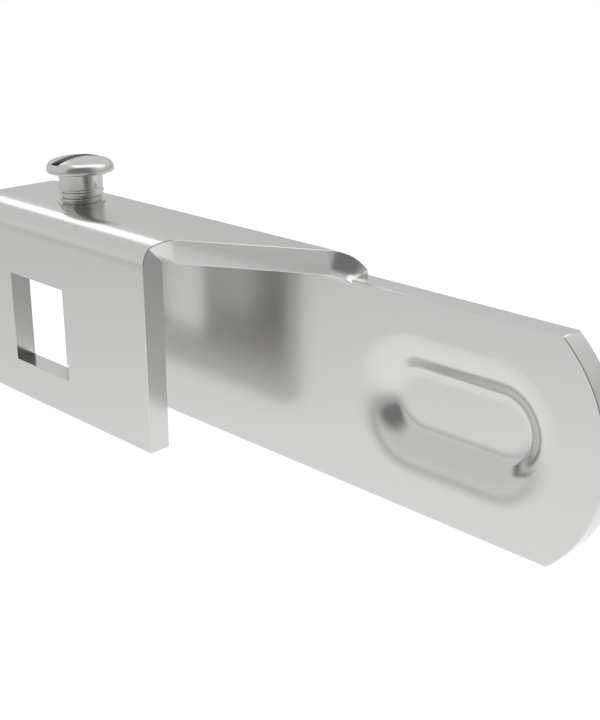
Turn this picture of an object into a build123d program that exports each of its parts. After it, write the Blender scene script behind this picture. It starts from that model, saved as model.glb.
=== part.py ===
"""Cam latch: a folded sheet cam for a square spindle, with a clamp screw. All sizes are in millimetres.

+X runs along the blade to its tip, +Y along the spindle from the front cheek to the rear wall, and +Z up to the screw.
The origin is on the spindle's axis, in the outer face of the front cheek.
"""

import os
from math import acos, cos, degrees, pi, radians, sin, sqrt, tan

from build123d import *

# Sheet and its bends
sheet = 2.0
bend_radius = 0.4  # inside of both bends
neutral_share = 0.33  # depth of the unstretched layer in a bend, as a share of the sheet

# Channel that straddles the spindle
channel_width = 11.0  # over the outer faces of the cheek and the rear wall
spindle_hole = 8.4  # side of the square, for an 8 mm spindle
web_height = 10.7  # spindle axis to the outer face of the web
cheek_drop = 7.65  # spindle axis to the cheek's lower edge
cheek_left = 9.7  # spindle axis to the channel's left end
cheek_right = 15.7  # spindle axis to the cheek's right edge

# Slanted cut of the flat blank, from the cheek's right edge back to the blade
cut_slant = 60.0  # degrees between the cut and a line square to the bends
cut_start = 45.0  # degrees into the front bend
cut_end = 68.0  # degrees into the rear bend

# Blade
blade_height = 17.3
blade_reach = 53.1  # spindle axis to the tip
tip_radius = 11.4

# Oval emboss, pressed from the front
emboss_depth = 1.5
emboss_round = 2.5  # inside of the pressed bends
emboss_half_height = 6.1
emboss_straight = 7.3  # between the centres of its two round ends
emboss_middle = 40.1  # spindle axis to the middle of the oval

# Clamp screw
screw_diameter = 4.0
screw_clearance = 0.05  # between the thread's crests and the tapped hole, on the radius
screw_lift = 2.75  # web to the underside of the head
screw_length = 9.0  # under the head
point_chamfer = 0.5
head_diameter = 6.05
head_height = 1.4
head_dome_radius = 8.0
head_shoulder_round = 0.8
head_under_round = 0.15
slot_width = 1.0
slot_depth = 0.6

# Places that follow from the sizes above
bend_outer = bend_radius + sheet
bend_middle = bend_radius + sheet / 2
bend_neutral = bend_radius + neutral_share * sheet
bend_z = web_height - bend_outer
front_bend_y = bend_outer
rear_bend_y = channel_width - bend_outer
slant = tan(radians(cut_slant))
cut_rise = slant * bend_neutral  # travel along X for each radian of a bend
web_cut_start = cheek_right + cut_rise * radians(90 - cut_start)
web_cut_end = web_cut_start + slant * (rear_bend_y - front_bend_y)
blade_start = web_cut_end + cut_rise * radians(cut_end)
blade_top = web_height - sheet  # level with the underside of the web
blade_bottom = blade_top - blade_height
blade_middle = (blade_top + blade_bottom) / 2
blade_y = channel_width - sheet / 2
tip_corner = blade_reach - tip_radius + sqrt(tip_radius**2 - (blade_height / 2) ** 2)
screw_y = channel_width / 2
head_z = web_height + screw_lift


def channel():
    """The cheek, web and rear wall, bent in a U from the left end to where the blade stands free."""
    with BuildPart() as part:
        with BuildSketch(Plane.YZ.offset(-cheek_left)):
            with BuildLine():
                FilletPolyline(
                    (sheet / 2, -cheek_drop),
                    (sheet / 2, web_height - sheet / 2),
                    (blade_y, web_height - sheet / 2),
                    (blade_y, blade_bottom),
                    radius=bend_middle,
                )
            trace(line_width=sheet)
        extrude(amount=cheek_left + blade_start)
    return part.part


def bend_cut(bend_y, first_radial, x_start, turn):
    """The waste beside the cut within one bend: its side is a helix surface, because the blank was cut flat."""
    start = Plane(origin=(x_start, bend_y, bend_z), x_dir=first_radial, z_dir=(1, 0, 0))
    path = Helix(2 * pi * cut_rise, cut_rise * radians(turn), bend_middle, lefthand=True)
    with BuildSketch(Plane.XZ) as section:
        with Locations((bend_radius / 2, 0)):
            Rectangle(bend_outer, blade_reach, align=(Align.MIN, Align.MIN))
    return start * sweep(section.sketch, path=path, is_frenet=True)


def blank_waste():
    """Everything that the slanted cut takes off the channel, from the cheek's edge to the blade."""
    start_radial = (0, -cos(radians(cut_start)), sin(radians(cut_start)))
    below_cut = bend_outer * tan(radians(cut_start))
    with BuildPart() as beside_cheek:
        with BuildSketch(Plane.YZ.offset(cheek_right)):
            Polygon(
                (front_bend_y, bend_z),
                (0, bend_z + below_cut),
                (-sheet, bend_z + below_cut),
                (-sheet, -cheek_drop - sheet),
                (front_bend_y, -cheek_drop - sheet),
                align=None,
            )
        extrude(amount=blade_reach)
    with BuildPart() as beside_web:
        with BuildSketch(Plane.XY.offset(bend_z)):
            Polygon(
                (web_cut_start, front_bend_y),
                (web_cut_end, rear_bend_y),
                (blade_reach, rear_bend_y),
                (blade_reach, front_bend_y),
                align=None,
            )
        extrude(amount=bend_outer + sheet)
    front = bend_cut(front_bend_y, start_radial, cheek_right, 90 - cut_start)
    rear = bend_cut(rear_bend_y, (0, 0, 1), web_cut_end, cut_end)
    return [beside_cheek.part, front, beside_web.part, rear]


def blade():
    """The flat blade, from the end of the bends to its round tip."""
    with BuildPart() as part:
        with BuildSketch(Plane.XZ.offset(-channel_width)):
            with BuildLine():
                Polyline(
                    (tip_corner, blade_bottom),
                    (blade_start, blade_bottom),
                    (blade_start, blade_top),
                    (tip_corner, blade_top),
                )
                ThreePointArc(
                    (tip_corner, blade_top), (blade_reach, blade_middle), (tip_corner, blade_bottom)
                )
            make_face()
        extrude(amount=sheet)
    return part.part


def emboss_outline():
    """The plug of flat sheet that the emboss takes the place of."""
    with BuildPart() as part:
        with BuildSketch(Plane.XZ.offset(-channel_width)):
            with Locations((emboss_middle, blade_middle)):
                SlotCenterToCenter(emboss_straight, 2 * emboss_half_height)
        extrude(amount=sheet)
    return part.part


def emboss():
    """The pressed oval: one section of even thickness, carried along the straights and round both ends."""
    layer = emboss_round + sheet / 2
    lean = degrees(acos(1 - emboss_depth / (2 * layer)))
    floor_half_height = emboss_half_height - 2 * layer * sin(radians(lean))
    middle = Plane(origin=(emboss_middle, blade_y, blade_middle), x_dir=(0, 0, 1), z_dir=(1, 0, 0))
    with BuildPart() as part:
        for side in (-1, 1):
            end = middle.offset(side * emboss_straight / 2)
            with BuildSketch(end) as section:
                with BuildLine():
                    floor = Line((0, -emboss_depth), (floor_half_height, -emboss_depth))
                    inner = JernArc(floor @ 1, floor % 1, layer, lean)
                    JernArc(inner @ 1, inner % 1, layer, -lean)
                trace(line_width=sheet)
            revolve(axis=Axis(end.origin, (0, 1, 0)), revolution_arc=side * 180)
        extrude(section.sketch, amount=-emboss_straight)
        mirror(about=Plane.XY.offset(blade_middle))
    return part.part


def cam_plate():
    """The whole folded sheet: channel, slanted cut, blade, emboss, spindle holes and tapped hole."""
    plate = channel()
    for waste in blank_waste():
        plate -= waste
    plate += blade() - emboss_outline() + emboss()
    plate -= Pos(0, channel_width / 2, 0) * Box(spindle_hole, channel_width + sheet, spindle_hole)
    tapped_hole = Cylinder(screw_diameter / 2 + screw_clearance, 2 * sheet)
    plate -= Pos(0, screw_y, web_height - sheet / 2) * tapped_hole
    return plate


def clamp_screw():
    """The slotted clamp screw, turned about its own axis and then slotted along Y."""
    rim_height = head_height - head_dome_radius
    rim_height += sqrt(head_dome_radius**2 - (head_diameter / 2) ** 2)
    rim_low = (head_diameter / 2, 0)
    rim_high = (head_diameter / 2, rim_height)
    with BuildPart() as part:
        with BuildSketch(Plane.XZ) as head:
            with BuildLine():
                Polyline((0, head_height), (0, 0), rim_low, rim_high)
                RadiusArc(rim_high, (0, head_height), -head_dome_radius)
            make_face()
            fillet(head.vertices().sort_by_distance(rim_high)[0], head_shoulder_round)
            fillet(head.vertices().sort_by_distance(rim_low)[0], head_under_round)
        revolve(axis=Axis.Z)
        with Locations((0, 0, head_height - slot_depth)):
            Box(
                slot_width,
                head_diameter * 2,
                head_height,
                align=(Align.CENTER, Align.CENTER, Align.MIN),
                mode=Mode.SUBTRACT,
            )
        Cylinder(screw_diameter / 2, screw_length, align=(Align.CENTER, Align.CENTER, Align.MAX))
        chamfer(part.edges().sort_by(Axis.Z)[0], point_chamfer)
    return Pos(0, screw_y, head_z) * part.part


os.makedirs("parts", exist_ok=True)
export_step(cam_plate(), "parts/cam_plate.step")
export_step(clamp_screw(), "parts/clamp_screw.step")
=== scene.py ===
"""The cam latch's finish, its pressed oval, the clamp screw's thread and the studio.

Lengths are in metres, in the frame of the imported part.
"""

from math import atan2, cos, hypot, pi, radians, sin, sqrt, tau

import bmesh
import bpy
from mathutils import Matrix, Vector
from mathutils.bvhtree import BVHTree
from mathutils.interpolate import poly_3d_calc


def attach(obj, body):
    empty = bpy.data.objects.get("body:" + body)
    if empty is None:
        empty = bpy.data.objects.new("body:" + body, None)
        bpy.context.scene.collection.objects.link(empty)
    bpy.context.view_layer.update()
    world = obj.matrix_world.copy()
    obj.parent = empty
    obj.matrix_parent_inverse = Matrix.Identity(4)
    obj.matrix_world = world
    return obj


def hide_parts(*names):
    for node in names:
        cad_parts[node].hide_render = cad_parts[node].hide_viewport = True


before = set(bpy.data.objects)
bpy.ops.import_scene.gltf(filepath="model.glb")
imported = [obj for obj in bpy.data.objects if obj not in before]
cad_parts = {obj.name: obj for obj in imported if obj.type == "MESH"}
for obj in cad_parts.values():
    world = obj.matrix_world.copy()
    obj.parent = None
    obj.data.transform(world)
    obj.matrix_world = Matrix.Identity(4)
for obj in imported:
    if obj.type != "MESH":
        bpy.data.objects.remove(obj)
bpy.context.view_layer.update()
mm = 0.001
near = 0.01 * mm  # places closer together than this count as one

# Camera, solved from the photo's straight edges
camera_place = (90.12 * mm, -56.54 * mm, 34.46 * mm)
camera_turn = 45.05  # degrees from straight along +Y, towards -X
camera_pitch = 19.99  # degrees below level
focal_length_px = 1203.8
photo_height_px = 720
sensor_size = 36.0  # millimetres, over the photo's longer side
clip_range = (1 * mm, 100)

# Lamps: place, size, turn and level
left_lamp = ((-0.47, 0.09, 0.33), (0.24, 0.2), (0, 0, 0), 1.05)
top_lamp = ((0.065, 0.2, 0.33), (0.267, 0.56), (0, 0, radians(-26.6)), 0.9)

# Room that the steel mirrors. Each level sets in over a range of the direction's x, y or z
room_tint = (1, 0.995, 0.985, 1)
room_level = 0.87
far_room_level = 0.63
far_room = (-0.3, 0.4)  # y
upper_room_level = 0.82
upper_room = (0.1, 0.4)  # z
dark_side_level = 0.24
dark_side = ((-0.15, 0.35), (0.55, -0.1), (-0.3, -0.1))  # x, y and z: behind the camera

# Floor, with a painted pool of light below the latch, a glow seen only in reflections, and a side
# that is dimmer in reflections
floor_drop = 60 * mm  # origin to the floor
floor_size = 12.0
floor_colour = 0.72
floor_roughness = 0.9
pool_middle = (40 * mm, 0, 0)
pool_reach = 330 * mm
pool_glow = 0.58  # mirrored in the steel
far_glow = 0.24
floor_glow = 0.4  # seen straight, below the latch, where its soft shadow has to show
far_floor_glow = 0.53
dim_side = (160 * mm, 400 * mm)  # x minus y, where the dimming starts and where it ends
dim_side_share = 0.45  # of the mirrored glow, left where it ends

# Steel
sheet_colour = (0.62, 0.617, 0.61, 1)
sheet_roughness = 0.195
sheet_grain = (2000, 20000, 20000)  # grains in a metre along X, Y and Z
sheet_brushing = 0.3  # how much its reflections stretch across the grain
screw_colour = (0.6, 0.597, 0.59, 1)
screw_roughness = 0.2
screw_grain = (20000, 20000, 1)  # in a metre away from the axis and along it
painted_slot_shade = (0.16, 0.158, 0.155, 1)  # painted shade: the slot's sides and floor are coloured dark for the shade inside it
roughness_spread = (0.85, 1.15)  # least and most over the grain, as shares
grain_detail = 3.0
grain_depth = 0.0005 * mm
stretch_turn = 0.25  # from along the grain to across it, in turns
end_face = 0.9  # cosine between X and a face's direction, above which its grain runs along Z

# Sheet edges
weld = 0.002 * mm
flat_angle = radians(0.3)  # faces that turn less than this become one
edge_break = 0.05 * mm
edge_angle = radians(30)  # edges that turn more than this are sharp
same_break = 0.8  # cosine between two faces of a break, above which they share a normal
web_height = 10.7 * mm
hole_reach = 2.1 * mm  # the tapped hole's edges are nearer to the screw's axis
hole_chamfer = 0.2 * mm  # at the tapped hole's upper end

# Front of the pressed oval: its wall is steeper than the CAD's, with a tighter bend at its foot
blade_front = 9.0 * mm
oval_ends = (36.45 * mm, 43.75 * mm)  # centres of its two round ends, along X
oval_z = 0.05 * mm
oval_rim = 6.1 * mm  # from the line between those centres to where the blade is flat
oval_flat = 0.24 * mm  # still flat inside the rim
# Radius of each bend, or length of the straight wall, and the tilt in degrees where it ends
oval_sections = ((3.9 * mm, 39.0), (0.68 * mm, 39.0), (1.58 * mm, 10.0), (2.54 * mm, 0.0))
section_steps = 8

# Clamp screw, with the thread that the plain solid leaves out
screw_axis = (0, 5.5 * mm)
head_z = 13.45 * mm
head_radius = 3.025 * mm
head_height = 1.4 * mm
head_dome_radius = 8.0 * mm
head_shoulder_round = 0.8 * mm
head_under_round = 0.15 * mm
slot_width = 1.0 * mm
slot_depth = 0.6 * mm
slot_edge_break = 0.06 * mm
slot_skin = 0.03 * mm  # faces deeper under the dome than this belong to the slot
neck_radius = 1.98 * mm
neck_round = 0.15 * mm
screw_radius = 2.0 * mm
screw_length = 9.0 * mm
point_chamfer = 0.5 * mm
thread_pitch = 0.5 * mm
thread_depth = 0.2 * mm
thread_top = 12.1 * mm  # where the groove has run out into the neck
thread_run_out = 0.35 * mm
groove_place = (radians(225), 11.74 * mm)  # direction and height of one point of the groove
root_flat = 0.3  # shares of the pitch
crest_flat = 0.4
turn_steps = 144
pitch_rows = 20
dome_steps = 24
shoulder_steps = 16
round_steps = 6
head_top = head_z + head_height
dome_z = head_top - head_dome_radius
point_z = head_z - screw_length


def node(tree, kind, values=None, **settings):
    """A new shader node, with its settings and the values of its sockets."""
    made = tree.nodes.new(kind)
    for name, value in settings.items():
        setattr(made, name, value)
    for name, value in (values or {}).items():
        made.inputs[name].default_value = value
    return made


def feed(tree, source, socket):
    """Gives a socket a number, or links it to the socket that source is."""
    if isinstance(source, (int, float)):
        socket.default_value = source
    else:
        tree.links.new(source, socket)


def maths(tree, operation, *sources, **settings):
    """The result of one operation. Each source may be a number or a socket."""
    made = node(tree, "ShaderNodeMath", operation=operation, **settings)
    for source, socket in zip(sources, made.inputs):
        feed(tree, source, socket)
    return made.outputs[0]


def product(tree, *sources):
    """The product of several values."""
    result = sources[0]
    for source in sources[1:]:
        result = maths(tree, "MULTIPLY", result, source)
    return result


def ramp(tree, source, low, high):
    """A smooth step from 0 at low to 1 at high."""
    values = {"From Min": low, "From Max": high}
    made = node(tree, "ShaderNodeMapRange", values, interpolation_type="SMOOTHSTEP")
    tree.links.new(source, made.inputs["Value"])
    return made.outputs["Result"]


def blend_values(tree, share, low, high):
    """low where share is 0 and high where it is 1. Each may be a number or a socket."""
    made = node(tree, "ShaderNodeMix", data_type="FLOAT")
    for source, index in ((share, 0), (low, 2), (high, 3)):
        feed(tree, source, made.inputs[index])
    return made.outputs[0]


def distance(tree, source, middle):
    """How far a place is from middle."""
    made = node(tree, "ShaderNodeVectorMath", {1: middle}, operation="DISTANCE")
    tree.links.new(source, made.inputs[0])
    return made.outputs["Value"]


def parts(tree, source):
    """The X, Y and Z of a vector."""
    made = node(tree, "ShaderNodeSeparateXYZ")
    tree.links.new(source, made.inputs[0])
    return made.outputs


def object_place(tree):
    """The place on the surface, in the coordinates of its object."""
    return node(tree, "ShaderNodeTexCoord").outputs["Object"]


def seen_straight(tree):
    """1 where the camera sees a surface, straight or through something clear."""
    rays = node(tree, "ShaderNodeLightPath").outputs
    return maths(tree, "ADD", rays["Is Camera Ray"], rays["Is Transmission Ray"], use_clamp=True)


def lamp(name, place, size, turn, level):
    """A flat soft lamp that looks as bright as level times white. The camera doesn't see it."""
    light = bpy.data.lights.new(name, "AREA")
    light.shape = "RECTANGLE"
    light.size, light.size_y = size
    light.energy = level * pi * size[0] * size[1]
    made = bpy.data.objects.new(name, light)
    made.location = place
    made.rotation_euler = turn
    made.visible_camera = False
    bpy.context.scene.collection.objects.link(made)


def lamps():
    """A small bright lamp overhead on the left, and a large soft one from overhead to the back."""
    lamp("left_lamp", *left_lamp)
    lamp("top_lamp", *top_lamp)


def studio():
    """The soft room that the steel mirrors. What is seen straight is plain white."""
    world = bpy.data.worlds.new("studio")
    bpy.context.scene.world = world
    world.use_nodes = True
    tree = world.node_tree
    tree.nodes.clear()
    direction = parts(tree, node(tree, "ShaderNodeTexCoord").outputs["Generated"])
    dark = product(tree, *(ramp(tree, part, *ends) for part, ends in zip(direction, dark_side)))
    _, y, z = direction
    level = blend_values(tree, ramp(tree, y, *far_room), room_level, far_room_level)
    level = blend_values(tree, ramp(tree, z, *upper_room), level, upper_room_level)
    level = blend_values(tree, dark, level, dark_side_level)
    room = node(tree, "ShaderNodeBackground", {"Color": room_tint})
    tree.links.new(level, room.inputs["Strength"])
    plain = node(tree, "ShaderNodeBackground", {"Color": (1, 1, 1, 1), "Strength": 1.0})
    choice = node(tree, "ShaderNodeMixShader")
    tree.links.new(seen_straight(tree), choice.inputs["Fac"])
    tree.links.new(room.outputs[0], choice.inputs[1])
    tree.links.new(plain.outputs[0], choice.inputs[2])
    tree.links.new(choice.outputs[0], node(tree, "ShaderNodeOutputWorld").inputs["Surface"])


def floor():
    """A pale floor below the latch, which the lock's spindle holds up. In reflections it glows
    with a painted pool of light below the latch, dimmer on one side. Seen straight it glows pale,
    a little less below the latch.
    """
    material = bpy.data.materials.new("pale_floor")
    material.use_nodes = True
    tree = material.node_tree
    shader = tree.nodes["Principled BSDF"]
    shader.inputs["Base Color"].default_value = (floor_colour, floor_colour, floor_colour, 1)
    shader.inputs["Roughness"].default_value = floor_roughness
    shader.inputs["Specular IOR Level"].default_value = 0.0
    place = object_place(tree)
    x, y, _ = parts(tree, place)
    # Painted pool of light: a glow on the floor near the latch, which only the steel's reflections
    # see
    pool = ramp(tree, distance(tree, place, pool_middle), pool_reach, 0.0)
    dimmed = ramp(tree, maths(tree, "SUBTRACT", x, y), *dim_side)
    mirrored = product(
        tree,
        blend_values(tree, pool, far_glow, pool_glow),
        blend_values(tree, dimmed, 1.0, dim_side_share),
        node(tree, "ShaderNodeLightPath").outputs["Is Glossy Ray"],
    )
    plain = blend_values(tree, pool, far_floor_glow, floor_glow)
    glow = node(tree, "ShaderNodeEmission")
    strength = blend_values(tree, seen_straight(tree), mirrored, plain)
    tree.links.new(strength, glow.inputs["Strength"])
    both = node(tree, "ShaderNodeAddShader")
    tree.links.new(shader.outputs[0], both.inputs[0])
    tree.links.new(glow.outputs[0], both.inputs[1])
    tree.links.new(both.outputs[0], tree.nodes["Material Output"].inputs["Surface"])
    bpy.ops.mesh.primitive_plane_add(size=floor_size, location=(0, 0, -floor_drop))
    plane = bpy.context.object
    plane.name = "floor"
    plane.data.materials.append(material)


def camera():
    """The camera at the photo's place, angle and focal length."""
    data = bpy.data.cameras.new("camera")
    data.sensor_width = sensor_size
    data.lens = focal_length_px * sensor_size / photo_height_px
    data.clip_start, data.clip_end = clip_range
    view = bpy.data.objects.new("camera", data)
    view.location = camera_place
    view.rotation_euler = (radians(90 - camera_pitch), 0, radians(camera_turn))
    scene = bpy.context.scene
    scene.collection.objects.link(view)
    scene.camera = view
    scene.view_settings.view_transform = "Standard"


def grain_direction(tree):
    """The rolling direction, along X, and along Z on the faces that look along X."""
    directions = []
    for axis in ((1, 0, 0), (0, 0, 1)):
        turned = node(tree, "ShaderNodeVectorTransform", {"Vector": axis}, vector_type="VECTOR")
        turned.convert_from = "OBJECT"
        turned.convert_to = "WORLD"
        directions.append(turned.outputs[0])
    facing = node(tree, "ShaderNodeVectorMath", operation="DOT_PRODUCT")
    tree.links.new(node(tree, "ShaderNodeNewGeometry").outputs["Normal"], facing.inputs[0])
    tree.links.new(directions[0], facing.inputs[1])
    square_on = maths(tree, "ABSOLUTE", facing.outputs["Value"])
    choice = node(tree, "ShaderNodeMix", data_type="VECTOR")
    tree.links.new(maths(tree, "GREATER_THAN", square_on, end_face), choice.inputs[0])
    tree.links.new(directions[0], choice.inputs[4])
    tree.links.new(directions[1], choice.inputs[5])
    return choice.outputs[1]


def turned_grain(tree):
    """The distance from the screw's axis and the height, for the rings that a lathe leaves."""
    x, y, z = parts(tree, object_place(tree))
    flat = node(tree, "ShaderNodeCombineXYZ")
    tree.links.new(x, flat.inputs["X"])
    tree.links.new(y, flat.inputs["Y"])
    rings = node(tree, "ShaderNodeCombineXYZ")
    tree.links.new(distance(tree, flat.outputs[0], (*screw_axis, 0)), rings.inputs["X"])
    tree.links.new(z, rings.inputs["Y"])
    return rings.outputs[0]


def slot_shade_mask(tree):
    """1 on the sides and floor of the screw's slot, where its shade is painted as a dark colour.
    """
    place = object_place(tree)
    x, _, z = parts(tree, place)
    from_dome = distance(tree, place, (*screw_axis, dome_z))
    return product(
        tree,
        maths(tree, "LESS_THAN", maths(tree, "ABSOLUTE", x), slot_width / 2 + near),
        maths(tree, "LESS_THAN", from_dome, head_dome_radius - slot_skin),
        maths(tree, "GREATER_THAN", z, head_top - slot_depth - near),
    )


def steel(name, colour, roughness, grain_stretch, brushing=0.0, turned=False):
    """Stainless steel with a fine grain in its roughness and its relief.

    The grain is rolled along X, or turned in rings round the screw's axis. On the screw, the
    slot's sides and floor get a painted shade: a dark colour.
    """
    material = bpy.data.materials.new(name)
    material.use_nodes = True
    tree = material.node_tree
    shader = tree.nodes["Principled BSDF"]
    shader.inputs["Base Color"].default_value = colour
    shader.inputs["Metallic"].default_value = 1.0
    shader.inputs["Anisotropic"].default_value = brushing
    shader.inputs["Anisotropic Rotation"].default_value = stretch_turn
    tree.links.new(grain_direction(tree), shader.inputs["Tangent"])
    if turned:
        place = turned_grain(tree)
        # Painted shade: the slot is coloured dark in place of the shade that falls inside it
        colours = node(tree, "ShaderNodeMix", {6: colour, 7: painted_slot_shade}, data_type="RGBA")
        tree.links.new(slot_shade_mask(tree), colours.inputs[0])
        tree.links.new(colours.outputs[2], shader.inputs["Base Color"])
    else:
        place = object_place(tree)
    stretch = node(tree, "ShaderNodeMapping", {"Scale": grain_stretch})
    tree.links.new(place, stretch.inputs["Vector"])
    grain = node(tree, "ShaderNodeTexNoise", {"Scale": 1.0, "Detail": grain_detail})
    tree.links.new(stretch.outputs[0], grain.inputs["Vector"])
    least, most = (roughness * share for share in roughness_spread)
    finish = node(tree, "ShaderNodeMapRange", {"To Min": least, "To Max": most})
    tree.links.new(grain.outputs["Fac"], finish.inputs["Value"])
    tree.links.new(finish.outputs["Result"], shader.inputs["Roughness"])
    relief = node(tree, "ShaderNodeBump", {"Strength": 1.0, "Distance": grain_depth})
    tree.links.new(grain.outputs["Fac"], relief.inputs["Height"])
    tree.links.new(relief.outputs["Normal"], shader.inputs["Normal"])
    return material


def dress(piece, material):
    """Puts one material over a whole piece."""
    piece.data.materials.clear()
    piece.data.materials.append(material)


def stand_in(mesh, name, piece, body):
    """An object of a new mesh that takes a CAD piece's place, and moves with the same body."""
    made = bpy.data.objects.new(name, mesh)
    bpy.context.scene.collection.objects.link(made)
    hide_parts(piece.name)
    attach(made, body)
    return made


def at_hole_mouth(edge):
    """Whether an edge lies round the upper end of the tapped hole."""
    axis_x, axis_y = screw_axis
    return all(
        abs(v.co.z - web_height) < near
        and hypot(v.co.x - axis_x, v.co.y - axis_y) < hole_reach
        for v in edge.verts
    )


def break_edges(work):
    """Breaks the sharp outer edges, and more so at the tapped hole. Returns the new faces."""
    sharp = [
        edge for edge in work.edges
        if edge.is_convex
        and edge.calc_face_angle() > edge_angle
        and edge.calc_length() > 2 * edge_break
    ]
    mouth = [edge for edge in sharp if at_hole_mouth(edge)]
    others = [edge for edge in sharp if not at_hole_mouth(edge)]
    breaks = set()
    for edges, width in ((others, edge_break), (mouth, hole_chamfer)):
        made = bmesh.ops.bevel(
            work, geom=edges, offset=width, offset_type="OFFSET", segments=1, affect="EDGES"
        )
        breaks.update(made["faces"])
    return breaks


def oval_profile():
    """Points of the oval's section from its rim inwards: reach from the middle, depth and tilt."""
    across, depth, tilt = oval_rim - oval_flat, 0.0, 0.0
    points = [(across, depth, tilt)]
    for size, last in oval_sections:
        end = radians(last)
        if end == tilt:
            across -= size * cos(tilt)
            depth += size * sin(tilt)
            points.append((across, depth, tilt))
            continue
        for step in range(1, section_steps + 1):
            now = tilt + (end - tilt) * step / section_steps
            along = size * abs(sin(now) - sin(tilt))
            points.append((across - along, depth + size * abs(cos(now) - cos(tilt)), now))
        across, depth, tilt = points[-1]
    return points


def oval_middle(place):
    """The nearest point of the oval's middle line, level with a place."""
    return Vector((min(max(place.x, oval_ends[0]), oval_ends[1]), place.y, oval_z))


def press_oval(work):
    """Presses the front of the oval anew. Returns its faces, each with its corners' normals."""
    old = [
        face for face in work.faces
        if face.normal.y < 0
        and all((v.co - oval_middle(v.co)).length < oval_rim + near for v in face.verts)
    ]
    bmesh.ops.delete(work, geom=old, context="FACES")
    follows = {}
    for edge in work.edges:
        if edge.is_boundary:
            loop = edge.link_loops[0]
            follows[loop.link_loop_next.vert] = loop.vert
    ring = [next(iter(follows))]
    while follows[ring[-1]] != ring[0]:
        ring.append(follows[ring[-1]])
    outwards = [(v.co - oval_middle(v.co)).normalized() for v in ring]
    normals = {vertex: Vector((0, -1, 0)) for vertex in ring}
    pressed = {}
    for across, depth, tilt in oval_profile():
        inner = []
        for vertex, out in zip(ring, outwards):
            place = oval_middle(vertex.co) + out * across
            place.y = blade_front + depth
            inner.append(work.verts.new(place))
            normals[inner[-1]] = Vector((0, -cos(tilt), 0)) - out * sin(tilt)
        for i in range(len(ring)):
            j = (i + 1) % len(ring)
            face = work.faces.new((ring[i], ring[j], inner[j], inner[i]))
            pressed[face] = [normals[v] for v in face.verts]
        ring = inner
    face = work.faces.new(ring)
    pressed[face] = [normals[v] for v in ring]
    return pressed


def cad_normal(tree, cad, place, facing):
    """The CAD's smooth normal at a place, on the side that looks nearly the same way."""
    found = tree.find_nearest_range(place, edge_break)
    beside = [(off, looks.dot(facing), index) for _, looks, index, off in found]
    beside = [one for one in beside if one[1] > cos(edge_angle)]
    if not beside:
        return facing
    reach = min(beside)[0] + near
    _, best = max((likeness, index) for off, likeness, index in beside if off < reach)
    corners = cad.polygons[best].loop_indices
    around = [cad.vertices[cad.loops[i].vertex_index].co for i in corners]
    shares = poly_3d_calc(around, place)
    normal = Vector()
    for share, i in zip(shares, corners):
        normal += share * cad.corner_normals[i].vector
    return normal.normalized()


def plate_normals(work, cad, breaks, pressed):
    """The normals of all corners: the CAD's, but for the broken edges and the pressed oval."""
    tree = BVHTree.FromPolygons([v.co for v in cad.vertices], [p.vertices for p in cad.polygons])
    normals = []
    for face in work.faces:
        if face in pressed:
            normals.extend(pressed[face])
        elif face in breaks:
            for vertex in face.verts:
                beside = [other.normal for other in vertex.link_faces if other in breaks]
                alike = [looks for looks in beside if looks.dot(face.normal) > same_break]
                normals.append(sum(alike, Vector()).normalized())
        else:
            normals.extend(cad_normal(tree, cad, v.co, face.normal) for v in face.verts)
    return normals


def broken_edge_plate(piece, name, body):
    """The cam plate with its sharp outer edges broken and the front of its oval pressed anew."""
    cad = piece.data
    work = bmesh.new()
    work.from_mesh(cad)
    bmesh.ops.remove_doubles(work, verts=work.verts, dist=weld)
    bmesh.ops.dissolve_limit(work, angle_limit=flat_angle, verts=work.verts, edges=work.edges)
    breaks = break_edges(work)
    pressed = press_oval(work)
    work.normal_update()
    normals = plate_normals(work, cad, breaks, pressed)
    mesh = bpy.data.meshes.new(name)
    work.to_mesh(mesh)
    work.free()
    mesh.shade_smooth()
    mesh.normals_split_custom_set(normals)
    return stand_in(mesh, name, piece, body)


def arc(middle, radius, start, end, steps):
    """Points of a profile arc, as reach from the axis and height. Angles are from straight up."""
    angles = [start + (end - start) * step / steps for step in range(steps + 1)]
    return [(middle[0] + radius * sin(a), middle[1] + radius * cos(a)) for a in angles]


def head_profile():
    """The head's outline, from just beside the top of its dome to the neck."""
    shoulder_from_axis = head_radius - head_shoulder_round
    shoulder_rise = sqrt((head_dome_radius - head_shoulder_round) ** 2 - shoulder_from_axis**2)
    meeting = atan2(shoulder_from_axis, shoulder_rise)
    dome = arc((0, dome_z), head_dome_radius, 0, meeting, dome_steps)[1:-1]
    shoulder_middle = (shoulder_from_axis, dome_z + shoulder_rise)
    shoulder = arc(shoulder_middle, head_shoulder_round, meeting, pi / 2, shoulder_steps)
    under_middle = (head_radius - head_under_round, head_z + head_under_round)
    under = arc(under_middle, head_under_round, pi / 2, pi, round_steps)
    neck_middle = (neck_radius + neck_round, head_z - neck_round)
    neck = arc(neck_middle, neck_round, 0, -pi / 2, round_steps)
    return dome + shoulder + under + neck


def share_of(value, low, high):
    """How far value is on the way from low to high, from 0 to 1."""
    return min(max((value - low) / (high - low), 0), 1)


def shank_radius(angle, z):
    """The shank's radius: a right-handed thread with flat crests, which runs out into the neck."""
    along = (z - groove_place[1]) / thread_pitch - (angle - groove_place[0]) / tau
    from_groove = along - round(along)
    fill = share_of(abs(from_groove), root_flat / 2, (1 - crest_flat) / 2)
    groove_z = z - from_groove * thread_pitch
    depth = thread_depth * share_of(groove_z, thread_top, thread_top - thread_run_out)
    past_neck = share_of(z, thread_top, thread_top - thread_pitch)
    outer = neck_radius + (screw_radius - neck_radius) * past_neck
    at_point = screw_radius - point_chamfer + z - point_z
    return min(outer - depth * (1 - fill), at_point)


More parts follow.
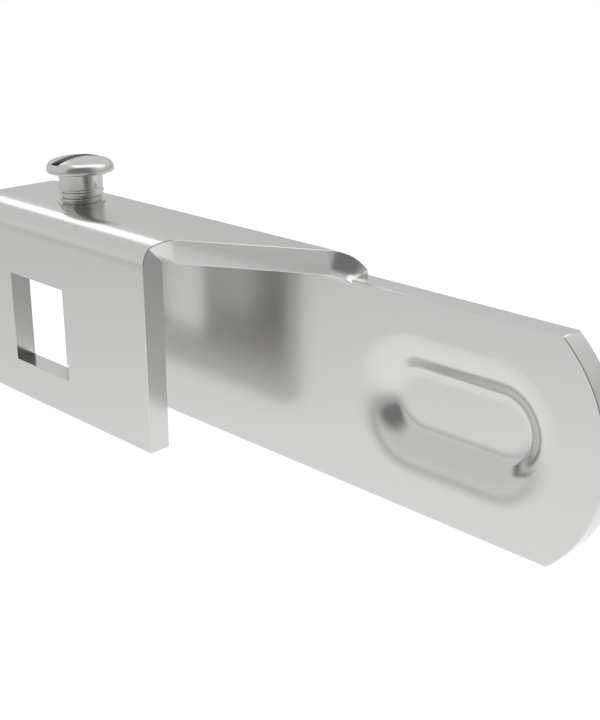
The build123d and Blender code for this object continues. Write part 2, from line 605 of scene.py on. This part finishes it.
def screw_mesh():
    """The whole clamp screw as rings from the top of its head to its point, not yet slotted."""
    angles = [tau * step / turn_steps for step in range(turn_steps)]
    rings = [[(radius, z)] * turn_steps for radius, z in head_profile()]
    rows = round((thread_top - point_z) / thread_pitch * pitch_rows)
    for row in range(rows + 1):
        z = thread_top + (point_z - thread_top) * row / rows
        rings.append([(shank_radius(angle, z), z) for angle in angles])
    work = bmesh.new()
    top = work.verts.new((*screw_axis, head_top))
    loops = []
    for ring in rings:
        points = []
        for angle, (radius, z) in zip(angles, ring):
            place = (screw_axis[0] + radius * cos(angle), screw_axis[1] + radius * sin(angle), z)
            points.append(work.verts.new(place))
        loops.append(points)
    point = work.verts.new((*screw_axis, point_z))
    for i in range(turn_steps):
        j = (i + 1) % turn_steps
        work.faces.new((top, loops[0][i], loops[0][j]))
        work.faces.new((point, loops[-1][j], loops[-1][i]))
        for upper, lower in zip(loops, loops[1:]):
            work.faces.new((lower[i], lower[j], upper[j], upper[i]))
    mesh = bpy.data.meshes.new("threaded_screw")
    work.to_mesh(mesh)
    work.free()
    return mesh


def slot_cutter():
    """A block as wide as the slot, with its underside at the slot's floor."""
    bpy.ops.mesh.primitive_cube_add(size=1)
    block = bpy.context.object
    block.scale = (slot_width, 4 * head_radius, 2 * slot_depth)
    block.location = (*screw_axis, head_top)
    return block


def threaded_screw(piece, name, body):
    """The clamp screw with its thread, neck, rounded head and slot, in place of the CAD screw."""
    made = stand_in(screw_mesh(), name, piece, body)
    block = slot_cutter()
    cut = made.modifiers.new("slot", "BOOLEAN")
    cut.operation = "DIFFERENCE"
    cut.solver = "EXACT"
    cut.object = block
    evaluated = made.evaluated_get(bpy.context.evaluated_depsgraph_get())
    slotted = bpy.data.meshes.new_from_object(evaluated)
    made.modifiers.clear()
    made.data = slotted
    bpy.data.objects.remove(block)
    work = bmesh.new()
    work.from_mesh(slotted)
    sharp = [
        edge for edge in work.edges
        if edge.is_convex and edge.calc_face_angle() > edge_angle and edge.verts[0].co.z > head_z
    ]
    bmesh.ops.bevel(
        work, geom=sharp, offset=slot_edge_break, segments=2, profile=0.5, affect="EDGES"
    )
    work.to_mesh(slotted)
    work.free()
    slotted.shade_smooth()
    slotted.set_sharp_from_angle(angle=edge_angle)
    return made


studio()
lamps()
floor()
camera()
sheet_steel = steel("rolled_stainless", sheet_colour, sheet_roughness, sheet_grain, sheet_brushing)
screw_steel = steel("turned_stainless", screw_colour, screw_roughness, screw_grain, turned=True)
plate = broken_edge_plate(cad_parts["cam_plate"], "broken_edge_plate", "plate")
screw = threaded_screw(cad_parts["clamp_screw"], "threaded_screw", "screw")
dress(plate, sheet_steel)
dress(screw, screw_steel)
